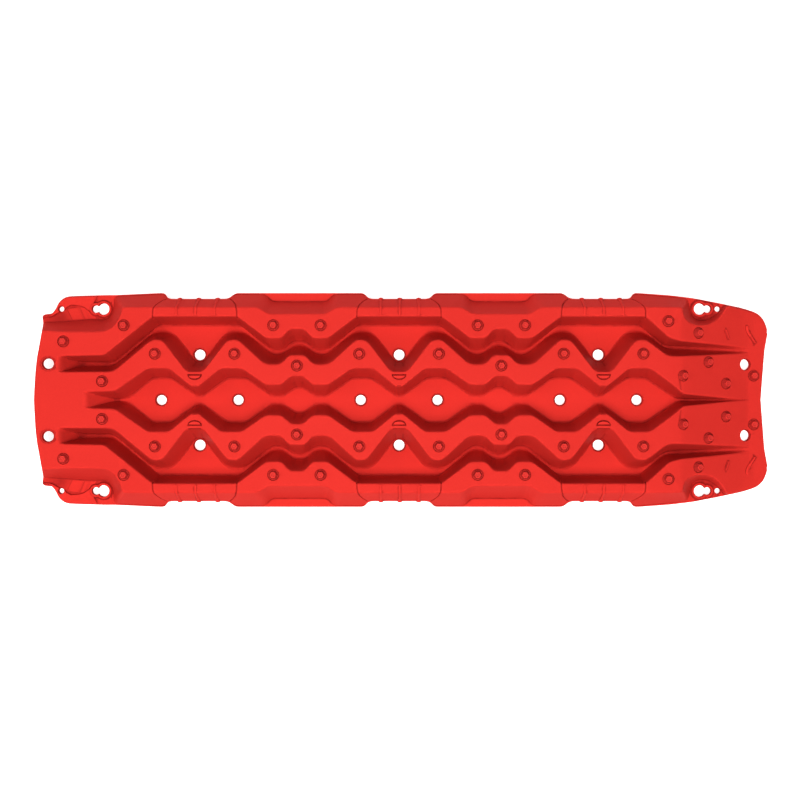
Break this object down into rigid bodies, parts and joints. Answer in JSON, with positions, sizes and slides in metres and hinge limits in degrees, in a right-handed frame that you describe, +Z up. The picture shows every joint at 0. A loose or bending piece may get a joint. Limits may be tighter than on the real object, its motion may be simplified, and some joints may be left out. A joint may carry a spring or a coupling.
{
  "type": "vehicle recovery traction board",
  "caption": "Long ribbed plastic board pushed under a stuck wheel, with zigzag valleys, hexagonal studs, side hand grips, corner keyholes and a ramped nose.",
  "frame": {"origin": "on the ground under the middle of the board's length and width", "axes": "+X towards the ramped nose, +Y to the left side, +Z up"},
  "size_m": [1.086, 0.32, 0.058],
  "materials": {
    "board": "moulded red nylon, fine satin texture",
    "studs": "moulded red nylon, satin"
  },
  "bodies": {
    "root": {"board": "board", "stud_tail_outer_left": "studs", "stud_tail_outer_right": "studs", "stud_tail_middle_left": "studs", "stud_tail_middle_right": "studs", "stud_tail_inner_left": "studs", "stud_tail_inner_right": "studs", "stud_bay_1_rear_left": "studs", "stud_bay_1_rear_right": "studs", "stud_bay_1_front_left": "studs", "stud_bay_1_front_right": "studs", "stud_bay_2_rear_left": "studs", "stud_bay_2_rear_right": "studs", "stud_bay_2_front_left": "studs", "stud_bay_2_front_right": "studs", "stud_bay_3_rear_left": "studs", "stud_bay_3_rear_right": "studs", "stud_bay_3_front_left": "studs", "stud_bay_3_front_right": "studs", "stud_rail_1_rear_left": "studs", "stud_rail_1_rear_right": "studs", "stud_rail_1_front_left": "studs", "stud_rail_1_front_right": "studs", "stud_rail_2_rear_left": "studs", "stud_rail_2_rear_right": "studs", "stud_rail_2_front_left": "studs", "stud_rail_2_front_right": "studs", "stud_ridge_1_left": "studs", "stud_ridge_1_right": "studs", "stud_ridge_2_left": "studs", "stud_ridge_2_right": "studs", "stud_nose_1_left": "studs", "stud_nose_1_right": "studs", "stud_nose_2_left": "studs", "stud_nose_2_right": "studs", "stud_nose_3_left": "studs", "stud_nose_3_right": "studs", "stud_nose_4_left": "studs", "stud_nose_4_right": "studs", "stud_nose_5_left": "studs", "stud_nose_5_right": "studs", "stud_nose_6_left": "studs", "stud_nose_6_right": "studs"}
  },
  "joints": []
}
